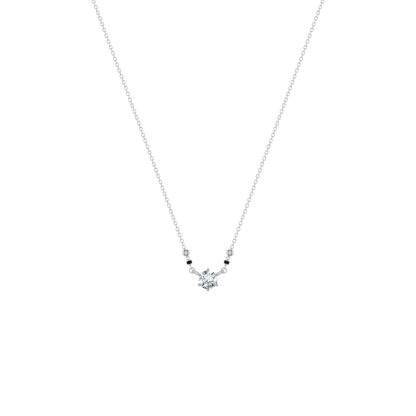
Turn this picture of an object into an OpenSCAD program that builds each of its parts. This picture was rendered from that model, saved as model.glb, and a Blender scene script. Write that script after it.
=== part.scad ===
// Solitaire mangalsutra: a round brilliant in a six-prong setting, held between two
// strands that each carry a black bead and a silver ball, on a fine cable chain.
// The necklace keeps the form that it has when worn. The origin is the middle of the
// nape, +Z is up and -Y is the front. Sizes are millimetres.

/* [Worn form] */
// Height from the nape down to the middle of the stone
pendant_drop = 150; // [146:0.5:154]
// Distance from the nape forward to the plane of the pendant
pendant_reach = 86; // [84:0.5:88]
// Lean of the beaded strands away from the vertical, in degrees
strand_lean = 18.7; // [16:0.1:22]
// Upward tilt of the stone, which lies on a chest that slopes forward, in degrees
head_tilt = 4; // [0:0.5:6]

/* [Chain] */
// Width of one oval link
link_w = 1.06; // [1:0.02:1.2]
// Wire diameter of the links
link_wire = 0.25; // [0.22:0.01:0.28]

/* [Ball beads] */
// Diameter of a silver ball
ball_d = 2.2; // [1.9:0.05:2.4]
// Play between the chain and the drilled hole of a ball, all round
ball_play = 0.05; // [0.04:0.01:0.08]
// Distance from the end of a ball to the round link below it
ball_clear = 0.05; // [0.04:0.01:0.3]

/* [Black beads] */
// Diameter of a black bead
bead_d = 1.6; // [1.4:0.02:1.8]
// Length of a black bead along its hole
bead_len = 1; // [0.9:0.02:1.2]
// Radius of the rounded edges of a black bead
bead_round = 0.28; // [0.2:0.02:0.44]
// Diameter of the hole through a black bead
bead_bore = 0.3; // [0.26:0.01:0.36]
// Depth of the dimple at each end of the hole
dimple_depth = 0.3; // [0.28:0.01:0.34]
// Radius of the dimple at its mouth
dimple_r = 0.48; // [0.46:0.01:0.54]

/* [Bead pins] */
// Wire diameter of an eye
eye_wire = 0.18; // [0.16:0.01:0.2]
// Inside diameter of the eye above a bead
upper_eye_hole = 0.4; // [0.39:0.01:0.42]
// Inside diameter of the eye below a bead
lower_eye_hole = 0.4; // [0.39:0.01:0.42]
// Diameter of the straight shank through the bead
shank_d = 0.16; // [0.14:0.01:0.2]
// Depth that the upper eye sits in the dimple of its bead
upper_sink = 0.12; // [0.08:0.01:0.24]
// Depth that the lower eye sits in the dimple of its bead
lower_sink = 0.16; // [0.1:0.01:0.24]

/* [Rings] */
// Outside diameter of a jump ring beside the setting
jump_d = 1.8; // [1.7:0.05:2.1]
// Wire diameter of a jump ring
jump_wire = 0.33; // [0.28:0.01:0.36]
// Length of the oval link between a jump ring and the eye above it
lower_len = 1.5; // [1.4:0.02:1.6]
// Outside diameter of the round link above a black bead
upper_d = 1.15; // [1.14:0.01:1.3]
// Play between two linked wires
link_play = 0.065; // [0.06:0.005:0.08]

/* [Stone] */
// Diameter of the stone across its girdle
stone_d = 5.3; // [4.8:0.1:5.6]
// Width of the table across its corners
table_d = 2.95; // [2.6:0.05:3.2]
// Height of the crown above the girdle
crown_h = 0.8; // [0.7:0.02:0.86]
// Thickness of the girdle
girdle_h = 0.15; // [0.1:0.01:0.2]
// Depth of the pavilion below the girdle
pavilion_h = 2.25; // [2.1:0.05:2.3]
// Gap between the stone and the metal
stone_gap = 0.04; // [0.03:0.01:0.08]

/* [Setting] */
// Number of prongs
prong_count = 6; // [4:2:8]
// Diameter of a prong at its tip
prong_d = 0.88; // [0.7:0.02:0.96]
// Diameter of a prong at the base
prong_foot_d = 0.46; // [0.4:0.02:0.5]
// Length of the upright stretch of a prong below the girdle
prong_below = 0.45; // [0.35:0.05:0.6]
// Length of the upright stretch of a prong above the girdle
prong_above = 0.25; // [0.2:0.05:0.35]
// Depth of the seat that is cut into a prong for the girdle
prong_seat = 0.31; // [0.2:0.01:0.35]
// Radius of the base rail, at the middle of its wire
base_r = 1.25; // [1.15:0.05:1.4]
// Wire diameter of the base rail
base_wire = 0.52; // [0.46:0.02:0.6]
// Depth of the base rail below the girdle
base_depth = 2.5; // [2.4:0.05:2.8]
// Wire diameter of the upper rail
rail_wire = 0.46; // [0.4:0.02:0.5]
// Depth of the upper rail below the girdle
rail_depth = 1.05; // [1:0.05:1.2]
// Distance that the girdle stands in front of the chain
girdle_forward = 0.9; // [0.8:0.05:1]

/* [Side loops] */
// Rise of a side loop above the horizontal, in degrees
loop_rise = 31; // [28:1:34]
// Distance from the middle of the stone to the wire at the tip of a loop
loop_reach = 5.1; // [4.6:0.05:5.2]
// Gap between the wire at the tip of a loop and the jump ring's wire inside it
loop_play = 0.385; // [0.085:0.01:0.395]
// Distance from the middle of the stone to the soldered end of a loop's front wire, inside its prong
loop_root = 2.6; // [2.55:0.05:2.7]
// Distance from the middle of the stone to the soldered end of a loop's back wire, inside the rail
loop_heel = 2.3; // [2.2:0.05:2.4]
// Width of a loop between the middles of its two wires
loop_w = 1; // [0.88:0.02:1.1]
// Wire diameter of a loop
loop_wire = 0.36; // [0.28:0.02:0.38]
// Turn of a loop out of the plane of the chain, in degrees
loop_turn = 60; // [50:1:65]

/* [Clasp] */
// Radius of the clasp ring, at the middle of its wire
clasp_r = 2.2; // [2:0.1:2.6]
// Wire diameter of the clasp ring
clasp_wire = 0.9; // [0.8:0.05:1]
// Radius of the eye on the clasp, at the middle of its wire
clasp_eye_r = 0.55; // [0.5:0.05:0.65]
// Wire diameter of the eye on the clasp
clasp_eye_wire = 0.4; // [0.36:0.02:0.44]
// Diameter of the thumb knob
knob_d = 0.6; // [0.5:0.05:0.7]
// Height of the thumb knob above the ring
knob_h = 0.5; // [0.4:0.05:0.8]
// Radius of the end ring in the clasp ring, at the middle of its wire
end_left_r = 0.9; // [0.85:0.05:1.1]
// Radius of the end ring in the clasp's eye, at the middle of its wire
end_right_r = 0.7; // [0.7:0.05:0.9]
// Wire diameter of the end rings
end_wire = 0.32; // [0.28:0.02:0.36]

/* [Hidden] */

// Route of the chain on the right side, from above the ball bead round to the nape
chain_route = [
    [11.3, -86, -128],
    [17.9, -85.6, -110],
    [25.3, -84, -90],
    [32, -81, -72],
    [37.6, -76.4, -57],
    [42, -70, -45],
    [45.2, -62.3, -34.5],
    [47, -52, -25],
    [46, -40, -17.3],
    [42, -27.5, -11.3],
    [35, -16, -6.5],
    [25.5, -6.8, -3],
    [14.5, -1.6, -0.8]
];
chain_sides = 8;
chain_steps = 3;
chain_skin = 0.02;

silver = [0.84, 0.85, 0.87];
jet = [0.03, 0.03, 0.04];
clear_white = [0.88, 0.94, 0.97];

fine = 96;
wire_fine = 32;
loop_sides = 14;
loop_arc_steps = 10;
prong_fine = 16;
rail_fine = 42;
facet_count = 8;
star_share = 0.52;
lower_share = 0.24;

stone_r = stone_d / 2;
table_r = table_d / 2;
half_step = 180 / facet_count;
star_r = table_r + (stone_r - table_r) * star_share;
star_h = crown_h * (stone_r - star_r * cos(half_step)) / (stone_r - table_r);
crown_slope = atan(star_h / (stone_r - star_r));
pavilion_slope = atan(pavilion_h / stone_r);

prong_r = stone_r + prong_d / 2 - prong_seat;
rail_r = prong_r - (prong_r - base_r) * (rail_depth - prong_below) / (base_depth - prong_below);
prong_path = [[base_r, -base_depth], [prong_r, -prong_below], [prong_r, prong_above]];
prong_widths = [prong_foot_d, prong_d, prong_d];

jump_r = (jump_d - jump_wire) / 2;
upper_r = (upper_d - link_wire) / 2;
upper_eye_r = (upper_eye_hole + eye_wire) / 2;
lower_eye_r = (lower_eye_hole + eye_wire) / 2;
lower_end = (lower_len - link_wire) / 2;
chain_d = link_w + 2 * chain_skin;
ball_bore = chain_d + 2 * ball_play;
ball_half = sqrt(pow(ball_d / 2, 2) - pow(ball_bore / 2, 2));

// Distances from the middle of the pendant to the jump ring, and then up the strand
jump_dist = loop_reach - (loop_wire + jump_wire) / 2 - loop_play + jump_r;
lower_link_at = jump_r - (jump_wire + link_wire) / 2 - link_play + lower_end;
lower_eye_at = lower_link_at + lower_end - (link_wire + eye_wire) / 2 - link_play + lower_eye_r;
shank_start = lower_eye_at + lower_eye_r;
bead_at = shank_start + eye_wire / 2 - lower_sink + bead_len / 2;
shank_end = bead_at + bead_len / 2 - upper_sink + eye_wire / 2;
upper_eye_at = shank_end + upper_eye_r;
upper_link_at = upper_eye_at + upper_eye_r - (eye_wire + link_wire) / 2 - link_play + upper_r;
chain_start_at = upper_link_at + upper_r + link_wire / 2 + link_play;
ball_at = upper_link_at + upper_r + link_wire / 2 + ball_clear + ball_half;

jump_x = jump_dist * cos(loop_rise);
jump_z = jump_dist * sin(loop_rise) - pendant_drop;
chain_start = strand_point(chain_start_at);
chain_aim = chain_route[0] - chain_start;
chain_lean = atan2(chain_aim[0], chain_aim[2]);
ball_center = chain_start + chain_aim / norm(chain_aim) * (ball_at - chain_start_at);

// Places along X of the pieces at the nape, with the clasp's two ends as far out as each other
end_play = 0.06;
left_span = clasp_r - clasp_wire / 2 - end_wire / 2 - end_play + 2 * end_left_r + end_wire / 2;
clasp_eye_step = 0.1;
eye_shift = clasp_r + clasp_eye_r + clasp_eye_step;
eye_room = eye_shift + clasp_eye_r - (clasp_eye_wire + end_wire) / 2 - end_play;
right_span = eye_room + 2 * end_right_r + end_wire / 2;
clasp_x = (left_span - right_span) / 2;
nape_x = (left_span + right_span) / 2 + end_play;
chain_path = smooth_path(concat([chain_start], chain_route, [[nape_x, 0, 0]]));

function strand_point(along) = [
    jump_x + along * sin(strand_lean), -pendant_reach, jump_z + along * cos(strand_lean)
];

// Catmull-Rom curve through a list of points
function blend(a, b, c, d, t) =
    (2 * b + (c - a) * t + (2 * a - 5 * b + 4 * c - d) * t * t + (3 * b - a - 3 * c + d) * t * t * t) / 2;
function smooth_path(points) =
    let (last = len(points) - 1)
    let (before = 2 * points[0] - points[1])
    let (after = 2 * points[last] - points[last - 1])
    let (all = concat([before], points, [after]))
    concat(
        [for (i = [1:last], k = [0:chain_steps - 1])
            blend(all[i - 1], all[i], all[i + 1], all[i + 2], k / chain_steps)],
        [points[last]]
    );

function unit(v) = v / norm(v);
function heading(path, i) = unit(path[min(i + 1, len(path) - 1)] - path[max(i - 1, 0)]);
function section(center, along, radius, sides) =
    let (side = unit(cross(along, [0, 1, 0])))
    let (up = cross(side, along))
    [for (k = [0:sides - 1])
        center + radius * (side * cos(360 * k / sides) + up * sin(360 * k / sides))];

// Faces of the wall through rings of points, which joins its last ring to its first where it is closed
function wall_faces(rings, sides, closed) = [
    for (i = [0:rings - (closed ? 1 : 2)], k = [0:sides - 1])
        let (next_ring = (i + 1) % rings)
        let (next_side = (k + 1) % sides)
        [i * sides + k, i * sides + next_side, next_ring * sides + next_side, next_ring * sides + k]
];

// Middle line of an oval loop with straight sides, round its middle
function oval_path(straight, radius) = concat(
    [for (k = [0:loop_arc_steps])
        [radius * cos(180 * k / loop_arc_steps), straight / 2 + radius * sin(180 * k / loop_arc_steps)]],
    [for (k = [0:loop_arc_steps])
        [-radius * cos(180 * k / loop_arc_steps), -straight / 2 - radius * sin(180 * k / loop_arc_steps)]]
);
function oval_angles() = concat(
    [for (k = [0:loop_arc_steps]) 180 * k / loop_arc_steps],
    [for (k = [0:loop_arc_steps]) 180 + 180 * k / loop_arc_steps]
);

// Tube with flat ends along a path of points
module tube(path, diameter, sides) {
    count = len(path);
    points = [for (i = [0:count - 1]) each section(path[i], heading(path, i), diameter / 2, sides)];
    first = [for (k = [sides - 1:-1:0]) k];
    final = [for (k = [0:sides - 1]) (count - 1) * sides + k];
    polyhedron(points, concat([first], wall_faces(count, sides, false), [final]), convexity = 10);
}

// Oval wire link in the XY plane, long along Y
module oval_link(length, width, wire) {
    radius = (width - wire) / 2;
    middle = oval_path(length - width, radius);
    angles = oval_angles();
    points = [
        for (i = [0:len(middle) - 1], k = [0:loop_sides - 1])
            let (out = wire / 2 * cos(360 * k / loop_sides))
            [
                middle[i][0] + out * cos(angles[i]),
                middle[i][1] + out * sin(angles[i]),
                wire / 2 * sin(360 * k / loop_sides)
            ]
    ];
    polyhedron(points, [for (f = wall_faces(len(middle), loop_sides, true)) [f[3], f[2], f[1], f[0]]]);
}

// Round wire ring in the XY plane
module ring(radius, wire) {
    rotate_extrude($fn = fine)
        translate([radius, 0])
            circle(d = wire, $fn = wire_fine);
}

// Puts a child built along +Y, facing +Z, on the right strand at a distance above the jump ring
module on_strand(along) {
    translate(strand_point(along))
        rotate([0, strand_lean, 0])
            rotate([90, 0, 0])
                children();
}

// Right-hand pieces as they are, left-hand pieces as their mirror image
module on_side(side) {
    mirror([side == "left" ? 1 : 0, 0, 0])
        children();
}

// Places the head's own frame, with +Z out of the stone's table and +Y up
module head_place() {
    translate([0, -pendant_reach, -pendant_drop])
        rotate([90 - head_tilt, 0, 0])
            translate([0, 0, girdle_forward])
                children();
}

function polar(radius, angle, height) = [radius * cos(angle), radius * sin(angle), height];
function ring_of(count, radius, start, height) =
    [for (i = [0:count - 1]) polar(radius, start + 360 * i / count, height)];

// Round brilliant: table, stars, kites and halves above the girdle, mains and halves below
module brilliant() {
    n = facet_count;
    lower_r = stone_r * lower_share;
    lower_h = pavilion_h * (1 - lower_r * cos(half_step) / stone_r);
    top = girdle_h / 2;
    points = concat(
        ring_of(n, table_r, 0, top + crown_h),
        ring_of(n, star_r, half_step, top + star_h),
        ring_of(2 * n, stone_r, 0, top),
        ring_of(2 * n, stone_r, 0, -top),
        ring_of(n, lower_r, half_step, -top - lower_h),
        [[0, 0, -top - pavilion_h]]
    );
    star = n;
    upper = 2 * n;
    lower = 4 * n;
    half = 6 * n;
    culet = 7 * n;
    faces = concat(
        [[for (i = [n - 1:-1:0]) i]],
        [for (i = [0:n - 1]) [i, (i + 1) % n, star + i]],
        [for (i = [0:n - 1]) [i, star + i, upper + 2 * i, star + (i + n - 1) % n]],
        [for (i = [0:n - 1]) [star + i, upper + 2 * i + 1, upper + 2 * i]],
        [for (i = [0:n - 1]) [star + i, upper + (2 * i + 2) % (2 * n), upper + 2 * i + 1]],
        [for (i = [0:2 * n - 1])
            [upper + i, upper + (i + 1) % (2 * n), lower + (i + 1) % (2 * n), lower + i]],
        [for (i = [0:n - 1]) [half + i, lower + 2 * i, lower + 2 * i + 1]],
        [for (i = [0:n - 1]) [half + i, lower + 2 * i + 1, lower + (2 * i + 2) % (2 * n)]],
        [for (i = [0:n - 1]) [culet, half + (i + n - 1) % n, lower + 2 * i, half + i]]
    );
    polyhedron(points, faces);
}

module stone() {
    color(clear_white)
        head_place()
            brilliant();
}

// Room that the stone takes up with its clearance, which seats the girdle in the prongs
module stone_room() {
    top = girdle_h / 2;
    room_r = stone_r + stone_gap;
    above = stone_gap / cos(crown_slope);
    below = stone_gap / cos(pavilion_slope);
    rotate([0, 0, 90 / fine])
        rotate_extrude($fn = fine)
            polygon([
                [0, -top - pavilion_h - below],
                [room_r, -top - below + stone_gap * tan(pavilion_slope)],
                [room_r, top + above - stone_gap * tan(crown_slope)],
                [star_r, top + star_h + above],
                [table_r, top + crown_h + above],
                [0, top + crown_h + above]
            ]);
}

// One bent prong, in the plane through the head's axis along +X
module prong() {
    for (i = [0:len(prong_path) - 2])
        hull() {
            translate([prong_path[i][0], 0, prong_path[i][1]])
                sphere(d = prong_widths[i], $fn = prong_fine);
            translate([prong_path[i + 1][0], 0, prong_path[i + 1][1]])
                sphere(d = prong_widths[i + 1], $fn = prong_fine);
        }
}

// Round rail whose facets are staggered against the prongs
module rail(radius, wire) {
    rotate([0, 0, 90 / rail_fine])
        rotate_extrude($fn = rail_fine)
            translate([radius, 0])
                circle(d = wire, $fn = loop_sides);
}

// Middle line of a U-shaped loop in the XZ plane, from its front end out to its reach and back
function loop_path(front, back, reach, width) =
    let (radius = width / 2)
    concat(
        [[front, 0, radius]],
        [for (k = [0:loop_arc_steps])
            let (turn = 90 - 180 * k / loop_arc_steps)
            [reach - radius + radius * cos(turn), 0, radius * sin(turn)]],
        [[back, 0, -radius]]
    );

// Loop that runs from inside a prong out through its jump ring and back
module side_loop() {
    translate([0, -pendant_reach, -pendant_drop])
        rotate([0, -loop_rise, 0])
            rotate([loop_turn, 0, 0])
                tube(loop_path(loop_root, loop_heel, loop_reach, loop_w), loop_wire, loop_sides);
}

module setting() {
    color(silver) {
        head_place() {
            difference() {
                for (i = [0:prong_count - 1])
                    rotate([0, 0, 90 + 360 * i / prong_count])
                        prong();
                stone_room();
            }
            translate([0, 0, -rail_depth])
                rail(rail_r, rail_wire);
            translate([0, 0, -base_depth])
                rail(base_r, base_wire);
        }
        for (side = ["left", "right"])
            on_side(side)
                side_loop();
    }
}

module jump_ring(side) {
    color(silver)
        on_side(side)
            on_strand(0)
                ring(jump_r, jump_wire);
}

module lower_link(side) {
    color(silver)
        on_side(side)
            on_strand(lower_link_at)
                rotate([0, 90, 0])
                    oval_link(lower_len, link_w, link_wire);
}

module bead_pin(side) {
    color(silver)
        on_side(side) {
            on_strand(lower_eye_at)
                ring(lower_eye_r, eye_wire);
            on_strand(upper_eye_at)
                rotate([0, 90, 0])
                    ring(upper_eye_r, eye_wire);
            on_strand((shank_start + shank_end) / 2)
                rotate([90, 0, 0])
                    cylinder(h = shank_end - shank_start, d = shank_d, center = true, $fn = wire_fine);
        }
}

// Half of a black bead's outline, with its rounded edges and the dimples of its hole
module bead_outline() {
    rim = bead_len / 2;
    bore_r = bead_bore / 2;
    difference() {
        union() {
            for (end = [-1, 1])
                translate([bead_d / 2 - bead_round, end * (rim - bead_round)])
                    circle(r = bead_round, $fn = wire_fine);
            translate([0, -rim])
                square([bead_d / 2 - bead_round, bead_len]);
            translate([0, bead_round - rim])
                square([bead_d / 2, bead_len - 2 * bead_round]);
        }
        translate([-bead_d, -bead_len])
            square([bead_d + bore_r, 2 * bead_len]);
        for (end = [-1, 1])
            polygon([
                [0, end * rim], [dimple_r, end * rim],
                [bore_r, end * (rim - dimple_depth)], [0, end * (rim - dimple_depth)]
            ]);
    }
}

module black_bead(side) {
    color(jet)
        on_side(side)
            on_strand(bead_at)
                rotate([90, 0, 0])
                    rotate_extrude($fn = fine)
                        bead_outline();
}

module upper_link(side) {
    color(silver)
        on_side(side)
            on_strand(upper_link_at)
                ring(upper_r, link_wire);
}

module ball_bead(side) {
    color(silver)
        on_side(side)
            translate(ball_center)
                rotate([0, chain_lean, 0])
                    difference() {
                        sphere(d = ball_d, $fn = fine);
                        cylinder(h = 2 * ball_d, d = ball_bore, center = true, $fn = fine);
                    }
}

module chain(side) {
    color(silver)
        on_side(side)
            tube(chain_path, chain_d, chain_sides);
}

module end_ring_left() {
    color(silver)
        translate([clasp_x - left_span + end_left_r + end_wire / 2, 0, 0])
            ring(end_left_r, end_wire);
}

module end_ring_right() {
    color(silver)
        translate([clasp_x + right_span - end_right_r - end_wire / 2, 0, 0])
            ring(end_right_r, end_wire);
}

module clasp() {
    color(silver)
        translate([clasp_x, 0, 0])
            rotate([90, 0, 0]) {
                ring(clasp_r, clasp_wire);
                translate([eye_shift, 0, 0])
                    ring(clasp_eye_r, clasp_eye_wire);
                translate([0, clasp_r, 0])
                    rotate([-90, 0, 0])
                        cylinder(h = clasp_wire / 2 + knob_h, d = knob_d, $fn = wire_fine);
            }
}

stone();
setting();
jump_ring("left");  // jump_ring_left
jump_ring("right");  // jump_ring_right
lower_link("left");  // lower_link_left
lower_link("right");  // lower_link_right
bead_pin("left");  // bead_pin_left
bead_pin("right");  // bead_pin_right
black_bead("left");  // black_bead_left
black_bead("right");  // black_bead_right
upper_link("left");  // upper_link_left
upper_link("right");  // upper_link_right
ball_bead("left");  // ball_bead_left
ball_bead("right");  // ball_bead_right
chain("left");  // chain_left
chain("right");  // chain_right
end_ring_left();
end_ring_right();
clasp();
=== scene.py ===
"""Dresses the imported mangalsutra: real cable links, white metal, black beads and a clear stone."""

import math
import random

import bpy
from mathutils import Matrix, Vector


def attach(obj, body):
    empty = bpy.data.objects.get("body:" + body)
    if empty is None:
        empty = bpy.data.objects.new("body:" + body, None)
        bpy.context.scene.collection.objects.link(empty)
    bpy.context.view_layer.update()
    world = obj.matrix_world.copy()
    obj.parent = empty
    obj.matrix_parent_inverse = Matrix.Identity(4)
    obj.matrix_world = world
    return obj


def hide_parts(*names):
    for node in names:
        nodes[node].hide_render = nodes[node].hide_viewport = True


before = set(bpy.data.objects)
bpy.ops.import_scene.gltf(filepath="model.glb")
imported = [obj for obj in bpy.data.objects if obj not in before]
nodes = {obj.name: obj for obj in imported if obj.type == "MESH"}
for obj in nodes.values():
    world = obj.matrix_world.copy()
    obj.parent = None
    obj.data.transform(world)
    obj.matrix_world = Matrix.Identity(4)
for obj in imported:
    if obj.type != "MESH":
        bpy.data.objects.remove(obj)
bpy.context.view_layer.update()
MM = 0.001

# The camera looks along +Y at the plane of the pendant, as the photograph does
AIM = Vector((0, -0.086, -0.1302))
FRAME_WIDTH = 0.1144
CAMERA_BACK = 1.3
CLIP_NEAR, CLIP_FAR = 0.01, 20
camera_data = bpy.data.cameras.new("camera")
camera_data.lens = camera_data.sensor_width * CAMERA_BACK / FRAME_WIDTH
camera_data.clip_start, camera_data.clip_end = CLIP_NEAR, CLIP_FAR
camera = bpy.data.objects.new("camera", camera_data)
camera.location = AIM - Vector((0, CAMERA_BACK, 0))
camera.rotation_euler = (math.pi / 2, 0, 0)
bpy.context.scene.collection.objects.link(camera)
bpy.context.scene.camera = camera


# Materials

# A noise texture stays mostly between these two values
NOISE_LOW, NOISE_HIGH = 0.3, 0.7


def new_material(name):
    """A material with its node tree and its Principled shader."""
    material = bpy.data.materials.new(name)
    material.use_nodes = True
    return material, material.node_tree, material.node_tree.nodes["Principled BSDF"]


def noise(tree, scale, detail, roughness=0.5):
    """The grey output of a noise texture over object space, with its scale in cycles a metre."""
    coordinates = tree.nodes.new("ShaderNodeTexCoord")
    texture = tree.nodes.new("ShaderNodeTexNoise")
    texture.inputs["Scale"].default_value = scale
    texture.inputs["Detail"].default_value = detail
    texture.inputs["Roughness"].default_value = roughness
    tree.links.new(coordinates.outputs["Object"], texture.inputs["Vector"])
    return texture.outputs["Fac"]


def spread(tree, value, low, high):
    """A noise value stretched to run from low to high."""
    stretch = tree.nodes.new("ShaderNodeMapRange")
    stretch.inputs["From Min"].default_value = NOISE_LOW
    stretch.inputs["From Max"].default_value = NOISE_HIGH
    stretch.inputs["To Min"].default_value = low
    stretch.inputs["To Max"].default_value = high
    tree.links.new(value, stretch.inputs["Value"])
    return stretch.outputs["Result"]


def tint(tree, value, dark, light):
    """A colour between dark and light, chosen by a noise value."""
    ramp = tree.nodes.new("ShaderNodeValToRGB")
    ends = ramp.color_ramp.elements
    for end, position, color in zip(ends, (NOISE_LOW, NOISE_HIGH), (dark, light)):
        end.position = position
        end.color = (*color, 1)
    tree.links.new(value, ramp.inputs["Fac"])
    return ramp.outputs["Color"]


def bump(tree, shader, value, height, strength):
    """Raises the surface by up to height, in metres, where value is 1."""
    node = tree.nodes.new("ShaderNodeBump")
    node.inputs["Distance"].default_value = height
    node.inputs["Strength"].default_value = strength
    tree.links.new(value, node.inputs["Height"])
    tree.links.new(node.outputs["Normal"], shader.inputs["Normal"])


def white_metal(name, dark, light, smooth, worn, wave, height):
    """White gold with faint colour drift, hairline wear in its roughness and a polisher's wave."""
    material, tree, shader = new_material(name)
    shader.inputs["Metallic"].default_value = 1.0
    drift = noise(tree, wave, detail=3)
    wear = noise(tree, wave * 6, detail=6, roughness=0.65)
    tree.links.new(tint(tree, drift, dark, light), shader.inputs["Base Color"])
    tree.links.new(spread(tree, wear, smooth, worn), shader.inputs["Roughness"])
    bump(tree, shader, drift, height, strength=0.5)
    return material


def black_glass():
    """Glossy black bead with a faint cloud under its polish and fine pits."""
    material, tree, shader = new_material("polished_black")
    cloud = noise(tree, 1500, detail=4)
    color = tint(tree, cloud, dark=(0.001, 0.001, 0.001), light=(0.005, 0.005, 0.006))
    tree.links.new(color, shader.inputs["Base Color"])
    tree.links.new(spread(tree, cloud, 0.14, 0.24), shader.inputs["Roughness"])
    shader.inputs["IOR"].default_value = 1.5
    shader.inputs["Specular IOR Level"].default_value = 0.06
    bump(tree, shader, noise(tree, 7000, detail=5), height=2e-6, strength=0.4)
    return material


def clear_stone():
    """Clear brilliant with a breath of blue-green in parts of it."""
    material, tree, shader = new_material("clear_brilliant")
    cloud = noise(tree, 700, detail=2)
    color = tint(tree, cloud, dark=(0.90, 0.97, 0.985), light=(0.99, 0.995, 1.0))
    tree.links.new(color, shader.inputs["Base Color"])
    shader.inputs["Transmission Weight"].default_value = 1.0
    shader.inputs["IOR"].default_value = 2.42
    shader.inputs["Roughness"].default_value = 0.0
    return material


bright_metal = white_metal(
    "polished_white_metal",
    dark=(0.82, 0.82, 0.83),
    light=(0.89, 0.89, 0.89),
    smooth=0.09,
    worn=0.18,
    wave=900,
    height=4e-6,
)
head_metal = white_metal(
    "head_white_metal",
    dark=(0.75, 0.75, 0.76),
    light=(0.83, 0.83, 0.83),
    smooth=0.16,
    worn=0.26,
    wave=900,
    height=3e-6,
)
ring_metal = white_metal(
    "ring_white_metal",
    dark=(0.74, 0.74, 0.75),
    light=(0.80, 0.80, 0.80),
    smooth=0.20,
    worn=0.32,
    wave=1200,
    height=3e-6,
)
chain_metal = white_metal(
    "chain_white_metal",
    dark=(0.82, 0.82, 0.83),
    light=(0.88, 0.88, 0.88),
    smooth=0.26,
    worn=0.40,
    wave=1400,
    height=3e-6,
)
# The finish of each kind of piece, whichever side it is on
FINISHES = {
    "black_bead": black_glass(),
    "stone": clear_stone(),
    "setting": head_metal,
    "jump_ring": ring_metal,
    "bead_pin": chain_metal,
    "lower_link": chain_metal,
    "upper_link": chain_metal,
    "chain": chain_metal,
    "ball_bead": bright_metal,
    "end_ring": bright_metal,
    "clasp": bright_metal,
}
for name, node in nodes.items():
    finish = FINISHES[name.removesuffix("_left").removesuffix("_right")]
    for slot in node.material_slots:
        slot.material = finish
    if not node.material_slots:
        node.data.materials.append(finish)


# Smooth shading of the faceted solids

CRISP_ANGLE = math.radians(35)
JOIN_WITHIN = 1e-7


def build_smoother():
    """A node group that shades a faceted solid as one surface, but keeps its sharp edges crisp."""
    tree = bpy.data.node_groups.new("smooth_facets", "GeometryNodeTree")
    for in_out in ("INPUT", "OUTPUT"):
        tree.interface.new_socket(
            name="Geometry", in_out=in_out, socket_type="NodeSocketGeometry"
        )
    joined = tree.nodes.new("GeometryNodeMergeByDistance")
    joined.inputs["Distance"].default_value = JOIN_WITHIN
    plain = tree.nodes.new("GeometryNodeRemoveAttribute")
    plain.inputs["Name"].default_value = "custom_normal"
    rounded = tree.nodes.new("GeometryNodeSetShadeSmooth")
    rounded.inputs["Shade Smooth"].default_value = True
    creased = tree.nodes.new("GeometryNodeSetShadeSmooth")
    creased.domain = "EDGE"
    bend = tree.nodes.new("GeometryNodeInputMeshEdgeAngle")
    gentle = tree.nodes.new("FunctionNodeCompare")
    gentle.operation = "LESS_THAN"
    gentle.inputs["B"].default_value = CRISP_ANGLE
    tree.links.new(bend.outputs["Unsigned Angle"], gentle.inputs["A"])
    tree.links.new(gentle.outputs["Result"], creased.inputs["Shade Smooth"])
    start, end = tree.nodes.new("NodeGroupInput"), tree.nodes.new("NodeGroupOutput")
    stages = [start, joined, plain, rounded, creased, end]
    for a, b in zip(stages, stages[1:]):
        tree.links.new(a.outputs["Geometry"], b.inputs["Geometry"])
    return tree


smoother = build_smoother()
for name in ("setting", "lower_link_left", "lower_link_right"):
    nodes[name].modifiers.new("smooth_facets", "NODES").node_group = smoother


# The chain: interlocked oval links along the route that part.scad gives its two tubes

LINK_LEN, LINK_WIDTH, LINK_WIRE = 1.38, 1.06, 0.25
CHAIN_START = (5.729, -86, -143.374)
CHAIN_ROUTE = [
    (11.3, -86, -128),
    (17.9, -85.6, -110),
    (25.3, -84, -90),
    (32, -81, -72),
    (37.6, -76.4, -57),
    (42, -70, -45),
    (45.2, -62.3, -34.5),
    (47, -52, -25),
    (46, -40, -17.3),
    (42, -27.5, -11.3),
    (35, -16, -6.5),
    (25.5, -6.8, -3),
    (14.5, -1.6, -0.8),
]
NAPE = (4.075, 0, 0)
ROUTE_STEPS = 40
# How far past the start of the route the middle of the first link lies
FIRST_LINK_AT = 0.06
LINK_COUNT = 250
# How many links from the first on lie flat or on edge to someone in front
FLAT_LINKS = 90
# Each link but the first and last is turned by up to this many degrees either way
LINK_SWAY, SWAY_SEED = 4, 11


def smooth_route(points, steps):
    """Points on the Catmull-Rom curve through a list of points."""
    points = [Vector(p) for p in points]
    points = [2 * points[0] - points[1], *points, 2 * points[-1] - points[-2]]
    curve = []
    for a, b, c, d in zip(points, points[1:], points[2:], points[3:]):
        for k in range(steps):
            t = k / steps
            bend = (2 * a - 5 * b + 4 * c - d) * t**2
            curve.append((2 * b + (c - a) * t + bend + (3 * b - a - 3 * c + d) * t**3) / 2)
    return [*curve, points[-2]]


def walk(curve, distances):
    """The point and direction at each distance along a curve, in rising order."""
    found, passed, i = [], 0.0, 0
    for distance in distances:
        while i < len(curve) - 2 and passed + (curve[i + 1] - curve[i]).length < distance:
            passed += (curve[i + 1] - curve[i]).length
            i += 1
        along = (curve[i + 1] - curve[i]).normalized()
        found.append((curve[i] + along * (distance - passed), along))
    return found


def link_shape(turns=24, sides=12):
    """Points and faces of one link, long along Y and flat in XY, in millimetres."""
    radius, straight = (LINK_WIDTH - LINK_WIRE) / 2, (LINK_LEN - LINK_WIDTH) / 2
    half = turns // 2
    points = []
    for i in range(turns):
        angle = math.pi * (i % half) / (half - 1) + (math.pi if i >= half else 0)
        middle_y = radius * math.sin(angle) + (straight if i < half else -straight)
        for k in range(sides):
            lean = 2 * math.pi * k / sides
            out = LINK_WIRE / 2 * math.cos(lean)
            x, y = (radius + out) * math.cos(angle), middle_y + out * math.sin(angle)
            points.append(Vector((x, y, LINK_WIRE / 2 * math.sin(lean))))
    faces = []
    for i in range(turns):
        for k in range(sides):
            j, m = (i + 1) % turns, (k + 1) % sides
            faces.append((i * sides + k, j * sides + k, j * sides + m, i * sides + m))
    return points, faces


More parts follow.
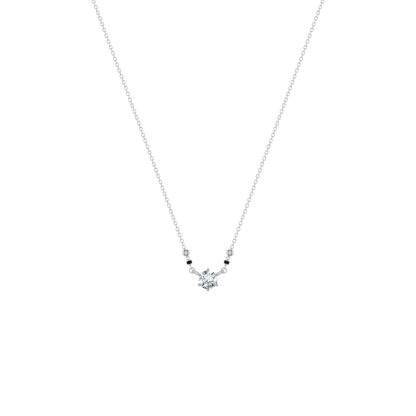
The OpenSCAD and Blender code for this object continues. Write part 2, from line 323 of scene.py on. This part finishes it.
def quarter_turn(i):
    """The turn of link i about the chain: every other link, from the first on, stands on edge."""
    return math.pi / 2 if i % 2 == 0 else 0.0


def link_places():
    """A matrix for each link of the right-hand chain."""
    curve = smooth_route([CHAIN_START, *CHAIN_ROUTE, NAPE], ROUTE_STEPS)
    length = sum((b - a).length for a, b in zip(curve, curve[1:]))
    last = LINK_COUNT - 1
    pitch = (length - FIRST_LINK_AT) / last
    stops = walk(curve, [FIRST_LINK_AT + pitch * i for i in range(LINK_COUNT)])
    face, faces = Vector((0, -1, 0)), []
    for _, along in stops:
        face = (face - along * face.dot(along)).normalized()
        faces.append(face)
    # The last link has to stand across the flat end ring, so the turn that is missing there is
    # shared out over the links behind the flat ones
    along = stops[last][1]
    wanted = Vector((0, 1, 0))
    missing = math.atan2(along.dot(face.cross(wanted)), face.dot(wanted)) - quarter_turn(last)
    missing = (missing + math.pi / 2) % math.pi - math.pi / 2
    chance = random.Random(SWAY_SEED)
    places = []
    for i, (point, along) in enumerate(stops):
        turn = missing * max(0, i - FLAT_LINKS) / (last - FLAT_LINKS) + quarter_turn(i)
        if 0 < i < last:
            turn += math.radians(chance.uniform(-LINK_SWAY, LINK_SWAY))
        up = Matrix.Rotation(turn, 3, along) @ faces[i]
        side = along.cross(up)
        places.append(Matrix((side, along, up)).transposed().to_4x4())
        places[-1].translation = point
    return places


def build_chain(side):
    """One chain of real links as a single smooth mesh, in place of that side's tube."""
    shape, shape_faces = link_shape()
    flip = -1 if side == "left" else 1
    points, faces = [], []
    for place in link_places():
        start = len(points)
        for p in shape:
            q = place @ p
            points.append((q.x * flip * MM, q.y * MM, q.z * MM))
        for f in shape_faces:
            faces.append([start + n for n in f[::flip]])
    mesh = bpy.data.meshes.new(f"chain_links_{side}")
    mesh.from_pydata(points, [], faces)
    mesh.shade_smooth()
    mesh.materials.append(chain_metal)
    piece = bpy.data.objects.new(f"chain_links_{side}", mesh)
    bpy.context.scene.collection.objects.link(piece)
    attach(piece, "root")
    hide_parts(f"chain_{side}")


for side in ("left", "right"):
    build_chain(side)


# Floor, lights and world

FLOOR_HEIGHT, FLOOR_SIDES = -0.24, 64
FLOOR_GLOW = 0.45
# What the camera sees of the world
PLAIN_LEVEL = 1.05
# The panes that the stone refracts: which part of the pattern, how fine, and their brightness,
# which goes up in steps with a random value of each pane; PANE_STEPS has (value, brightness)
PANES_AT = (18.2, 17.9, -17.7)
PANES_SCALE = 3.5
PANE_STEPS = ((0, 0.0), (0.25, 0.15), (0.3, 0.55), (0.5, 1.15))
# The light tent that metal mirrors: its cloth, its deepest shade, and the shade of its frame
CLOTH_LEVEL, TENT_DARKEST = 0.8, 0.06
LEFT_BAR, RIGHT_BAR, LEVEL_BARS = 0.34, 0.48, 0.6


def build_floor():
    """A plain pale floor under the necklace."""
    material, tree, shader = new_material("pale_floor")
    color = tint(tree, noise(tree, 4, detail=2), dark=(0.86, 0.86, 0.86), light=(0.9, 0.9, 0.9))
    tree.links.new(color, shader.inputs["Base Color"])
    shader.inputs["Roughness"].default_value = 0.8
    shader.inputs["Emission Color"].default_value = (1, 1, 1, 1)
    shader.inputs["Emission Strength"].default_value = FLOOR_GLOW
    mesh = bpy.data.meshes.new("floor")
    rim = [2 * math.pi * k / FLOOR_SIDES for k in range(FLOOR_SIDES)]
    points = [(math.cos(a), math.sin(a), FLOOR_HEIGHT) for a in rim]
    mesh.from_pydata(points, [], [range(FLOOR_SIDES)])
    mesh.materials.append(material)
    floor = bpy.data.objects.new("floor", mesh)
    floor.visible_glossy = floor.visible_transmission = False
    bpy.context.scene.collection.objects.link(floor)


def soft_light(name, place, width, power):
    """A square soft light that faces the pendant."""
    data = bpy.data.lights.new(name, "AREA")
    data.size = width
    data.energy = power
    light = bpy.data.objects.new(name, data)
    light.location = place
    light.rotation_euler = (Vector(place) - AIM).to_track_quat("Z", "Y").to_euler()
    light.visible_glossy = False
    bpy.context.scene.collection.objects.link(light)


def calculate(tree, operation, a, b=0.0, c=0.0):
    """A Math node on numbers or sockets."""
    node = tree.nodes.new("ShaderNodeMath")
    node.operation = operation
    for i, value in enumerate((a, b, c)):
        if isinstance(value, (int, float)):
            node.inputs[i].default_value = value
        else:
            tree.links.new(value, node.inputs[i])
    return node.outputs["Value"]


def fade(tree, value, start, end):
    """0 where value is at start and 1 where it is at end, smoothly."""
    node = tree.nodes.new("ShaderNodeMapRange")
    node.interpolation_type = "SMOOTHSTEP"
    node.inputs["From Min"].default_value = start
    node.inputs["From Max"].default_value = end
    tree.links.new(value, node.inputs["Value"])
    return node.outputs["Result"]


def studio_panes(tree, direction):
    """The strength of the light that the stone refracts: bright and dim panes with dark gaps."""
    place = tree.nodes.new("ShaderNodeMapping")
    place.inputs["Location"].default_value = PANES_AT
    panes = tree.nodes.new("ShaderNodeTexVoronoi")
    panes.inputs["Scale"].default_value = PANES_SCALE
    split = tree.nodes.new("ShaderNodeSeparateColor")
    tree.links.new(direction, place.inputs["Vector"])
    tree.links.new(place.outputs["Vector"], panes.inputs["Vector"])
    tree.links.new(panes.outputs["Color"], split.inputs["Color"])
    ramp = tree.nodes.new("ShaderNodeValToRGB")
    ramp.color_ramp.interpolation = "CONSTANT"
    while len(ramp.color_ramp.elements) < len(PANE_STEPS):
        ramp.color_ramp.elements.new(1)
    for step, (position, level) in zip(ramp.color_ramp.elements, PANE_STEPS):
        step.position = position
        step.color = (level, level, level, 1)
    tree.links.new(split.outputs["Red"], ramp.inputs["Fac"])
    return ramp.outputs["Color"]


def background(tree, strength):
    """A white background whose strength is a number or a socket."""
    node = tree.nodes.new("ShaderNodeBackground")
    node.inputs["Color"].default_value = (1, 1, 1, 1)
    if isinstance(strength, float):
        node.inputs["Strength"].default_value = strength
    else:
        tree.links.new(strength, node.inputs["Strength"])
    return node.outputs["Background"]


def choose(tree, chance, usual, other):
    """The usual background, or the other one where chance is 1."""
    node = tree.nodes.new("ShaderNodeMixShader")
    tree.links.new(chance, node.inputs["Fac"])
    tree.links.new(usual, node.inputs[1])
    tree.links.new(other, node.inputs[2])
    return node.outputs["Shader"]


def bars(tree, across, along, place, bow, reach):
    """1 on the two bars at place and -place, which bow inwards at their ends, and 0 elsewhere."""
    distance = calculate(tree, "ABSOLUTE", across)
    square = calculate(tree, "MULTIPLY", along, along)
    bent = calculate(tree, "MULTIPLY_ADD", square, bow, distance)
    off = calculate(tree, "ABSOLUTE", calculate(tree, "SUBTRACT", bent, place))
    return fade(tree, off, start=reach, end=0.3 * reach)


def tent_level(tree, direction):
    """The brightness of the light tent: pale cloth and its frame of upright and level bars."""
    split = tree.nodes.new("ShaderNodeSeparateXYZ")
    tree.links.new(direction, split.inputs["Vector"])
    x, y, z = (split.outputs[a] for a in "XYZ")
    upright_bars = bars(tree, x, z, place=0.72, bow=0.21, reach=0.2)
    level_bars = bars(tree, z, x, place=0.88, bow=0.26, reach=0.14)
    right = fade(tree, x, start=-0.1, end=0.1)
    in_front = fade(tree, y, start=0.35, end=0.05)
    upright = calculate(tree, "MULTIPLY_ADD", right, RIGHT_BAR - LEFT_BAR, LEFT_BAR)
    shade = calculate(tree, "MULTIPLY", upright_bars, upright)
    shade = calculate(tree, "MULTIPLY_ADD", level_bars, LEVEL_BARS, shade)
    shade = calculate(tree, "MULTIPLY", shade, in_front)
    return calculate(tree, "MAXIMUM", calculate(tree, "SUBTRACT", CLOTH_LEVEL, shade), TENT_DARKEST)


def build_world():
    """A white light tent with a dark frame, so that polished metal shows its shape."""
    world = bpy.data.worlds.new("light_tent")
    world.use_nodes = True
    tree = world.node_tree
    tree.nodes.clear()
    direction = tree.nodes.new("ShaderNodeTexCoord").outputs["Generated"]
    rays = tree.nodes.new("ShaderNodeLightPath").outputs
    tent = background(tree, tent_level(tree, direction))
    panes = background(tree, studio_panes(tree, direction))
    plain = background(tree, PLAIN_LEVEL)
    out = tree.nodes.new("ShaderNodeOutputWorld")
    refracted = choose(tree, rays["Is Transmission Ray"], tent, panes)
    tree.links.new(choose(tree, rays["Is Camera Ray"], refracted, plain), out.inputs["Surface"])
    bpy.context.scene.world = world


build_floor()
build_world()
soft_light("key_light", (-0.35, -0.75, 0.35), width=0.3, power=0.5)
soft_light("fill_light", (0.5, -0.6, 0.0), width=0.3, power=0.3)
bpy.context.scene.view_settings.view_transform = "Standard"
